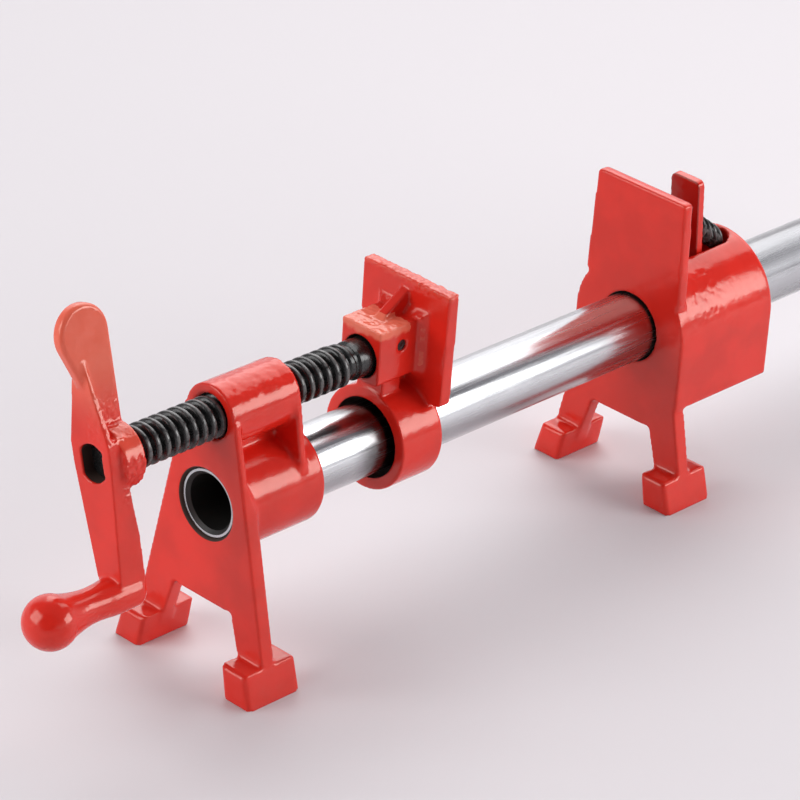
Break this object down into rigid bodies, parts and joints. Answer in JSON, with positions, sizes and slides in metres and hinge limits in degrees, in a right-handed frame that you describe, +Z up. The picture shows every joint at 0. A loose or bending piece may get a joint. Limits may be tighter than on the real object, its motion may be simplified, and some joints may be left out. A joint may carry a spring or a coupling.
{
  "type": "woodworking pipe clamp",
  "caption": "Woodworking pipe clamp: a cranked head with a sliding jaw on a steel pipe, and a tail jaw that a tilting-plate clutch locks anywhere along it.",
  "frame": {"origin": "on the floor under the middle of the whole clamp, from the crank's ball tip to the pipe's far end", "axes": "+X along the pipe from the head to the tail, +Z up, +Y completes a right-handed frame"},
  "size_m": [0.5492, 0.0708, 0.1529],
  "materials": {
    "red_enamel": "glossy red enamel over a cast surface",
    "zinc_pipe": "bright zinc plated steel tube with drawn streaks",
    "black_screw": "black oxide screw, worn light along the thread's crests",
    "plain_steel": "plain oiled steel plate",
    "black_spring": "black oxide spring wire"
  },
  "bodies": {
    "frame": {"head_frame": "red_enamel", "pipe": "zinc_pipe"},
    "jaw": {"sliding_jaw": "red_enamel", "jaw_retaining_pin": "plain_steel"},
    "screw": {"spindle": "black_screw", "crank_handle": "red_enamel"},
    "tail": {"tail_jaw": "red_enamel", "clutch_spring": "black_spring"},
    "lever": {"release_lever": "red_enamel"},
    "plate_1": {"clutch_plate_1": "plain_steel"},
    "plate_2": {"clutch_plate_2": "plain_steel"},
    "plate_3": {"clutch_plate_3": "plain_steel"}
  },
  "joints": [
    {"name": "jaw_slide", "type": "slide", "parent": "frame", "child": "jaw", "axis": [1, 0, 0], "range_m": [-0.035, 0.0382]},
    {"name": "spindle_turn", "type": "hinge", "parent": "jaw", "child": "screw", "pos_m": [-0.1839, 0, 0.099], "axis": [1, 0, 0], "range_deg": [-2970, 3240]},
    {"name": "tail_slide", "type": "slide", "parent": "frame", "child": "tail", "axis": [1, 0, 0], "range_m": [-0.075, 0.18]},
    {"name": "lever_tilt", "type": "hinge", "parent": "tail", "child": "lever", "pos_m": [0.0667, 0, 0.0452], "axis": [0, 1, 0], "range_deg": [0, 5], "stiffness_Nm_per_rad": 0.5, "springref_deg": -11.46, "deforming": ["clutch_spring"]},
    {"name": "plate_1_tilt", "type": "hinge", "parent": "tail", "child": "plate_1", "pos_m": [0.05485, 0, 0.0452], "axis": [0, 1, 0], "range_deg": [-0.2, 5.2]},
    {"name": "plate_2_tilt", "type": "hinge", "parent": "tail", "child": "plate_2", "pos_m": [0.0588, 0, 0.0452], "axis": [0, 1, 0], "range_deg": [-0.2, 5.2]},
    {"name": "plate_3_tilt", "type": "hinge", "parent": "tail", "child": "plate_3", "pos_m": [0.06275, 0, 0.0452], "axis": [0, 1, 0], "range_deg": [-0.2, 5.2]}
  ],
  "couplings": [
    {"joint": "jaw_slide", "follows": "spindle_turn", "m_per_rad": 0.00067376},
    {"joint": "plate_1_tilt", "follows": "lever_tilt", "ratio": 1},
    {"joint": "plate_2_tilt", "follows": "lever_tilt", "ratio": 1},
    {"joint": "plate_3_tilt", "follows": "lever_tilt", "ratio": 1}
  ]
}
